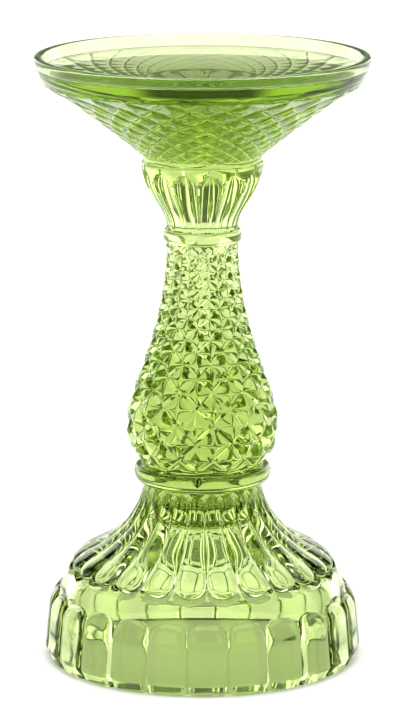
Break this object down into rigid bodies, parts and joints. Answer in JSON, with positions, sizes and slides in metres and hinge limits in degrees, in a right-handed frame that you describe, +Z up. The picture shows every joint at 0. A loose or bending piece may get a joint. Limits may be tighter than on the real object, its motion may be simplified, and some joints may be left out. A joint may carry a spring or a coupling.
{
  "type": "footed glass dish",
  "caption": "Tall footed dish in green pressed glass, with a diamond-cut stem and a ribbed bell foot, for a pillar candle.",
  "frame": {"origin": "centre of the ring that the foot stands on, at the height of the table", "axes": "+Z up along the axis of the dish, stem and foot; -Y is the front, where the pattern's seam lies 5.6 degrees to the left"},
  "size_m": [0.1364, 0.1364, 0.25],
  "materials": {
    "green_glass": "clear yellow-green pressed glass, fire polished"
  },
  "bodies": {
    "root": {"foot": "green_glass", "flange": "green_glass", "stem": "green_glass", "collar": "green_glass", "neck": "green_glass", "wafer": "green_glass", "dish": "green_glass"}
  },
  "joints": []
}
